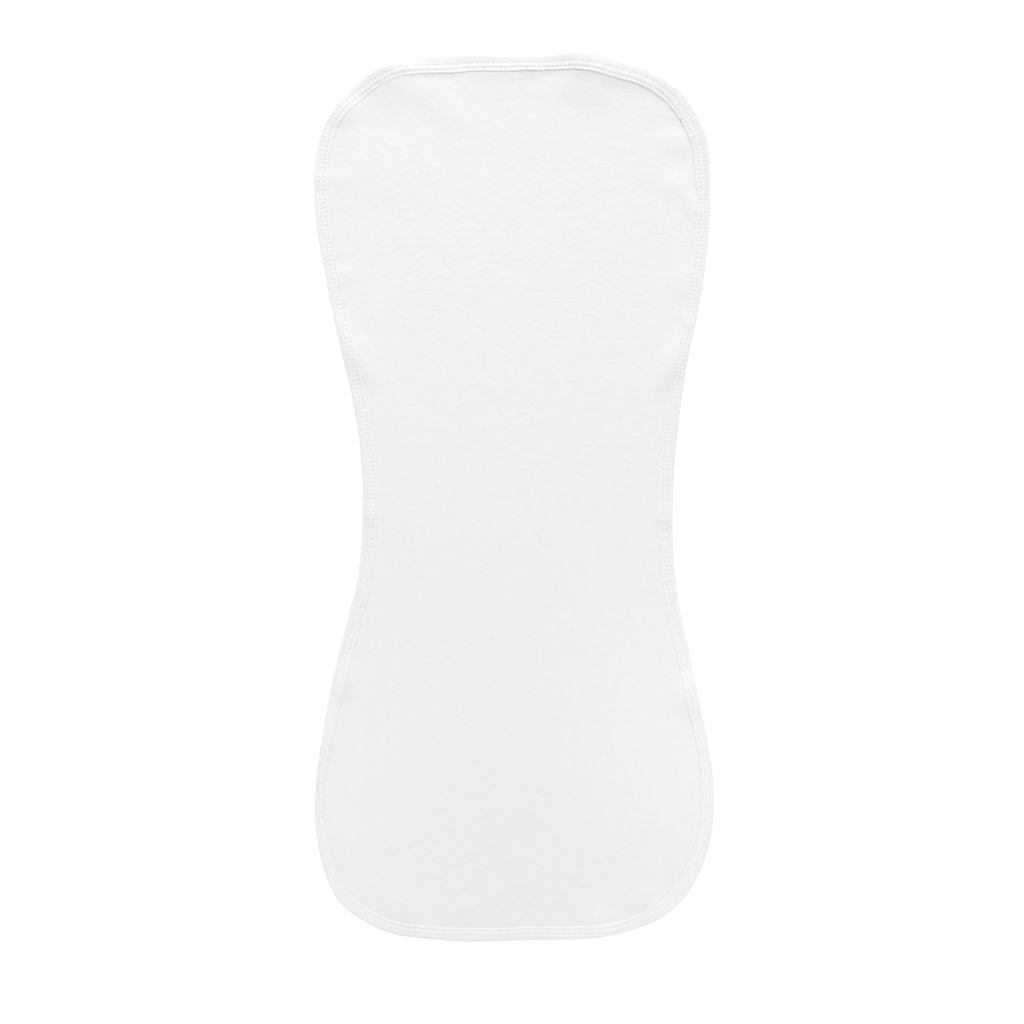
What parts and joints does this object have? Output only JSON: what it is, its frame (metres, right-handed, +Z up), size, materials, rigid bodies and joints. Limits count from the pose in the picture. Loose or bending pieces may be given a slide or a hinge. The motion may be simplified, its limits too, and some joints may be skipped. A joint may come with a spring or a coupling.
{
  "type": "contoured burp cloth",
  "caption": "Flat hourglass-shaped knit burp cloth, narrowed at the waist to sit on a shoulder, its edge covered all round by a folded and topstitched binding.",
  "frame": {"origin": "on the surface the cloth lies on, under the middle of the cloth's own box", "axes": "+Z up, away from the surface and out of the cloth's face; +Y along the cloth's length, towards the end that is at the top of the picture; +X to the right in the picture"},
  "size_m": [0.2296, 0.5086, 0.005],
  "materials": {
    "panel_knit": "matte white fine knit",
    "binding_knit": "matte white knit strip, two rows of topstitching"
  },
  "bodies": {
    "root": {"panel": "panel_knit", "binding": "binding_knit"}
  },
  "joints": []
}
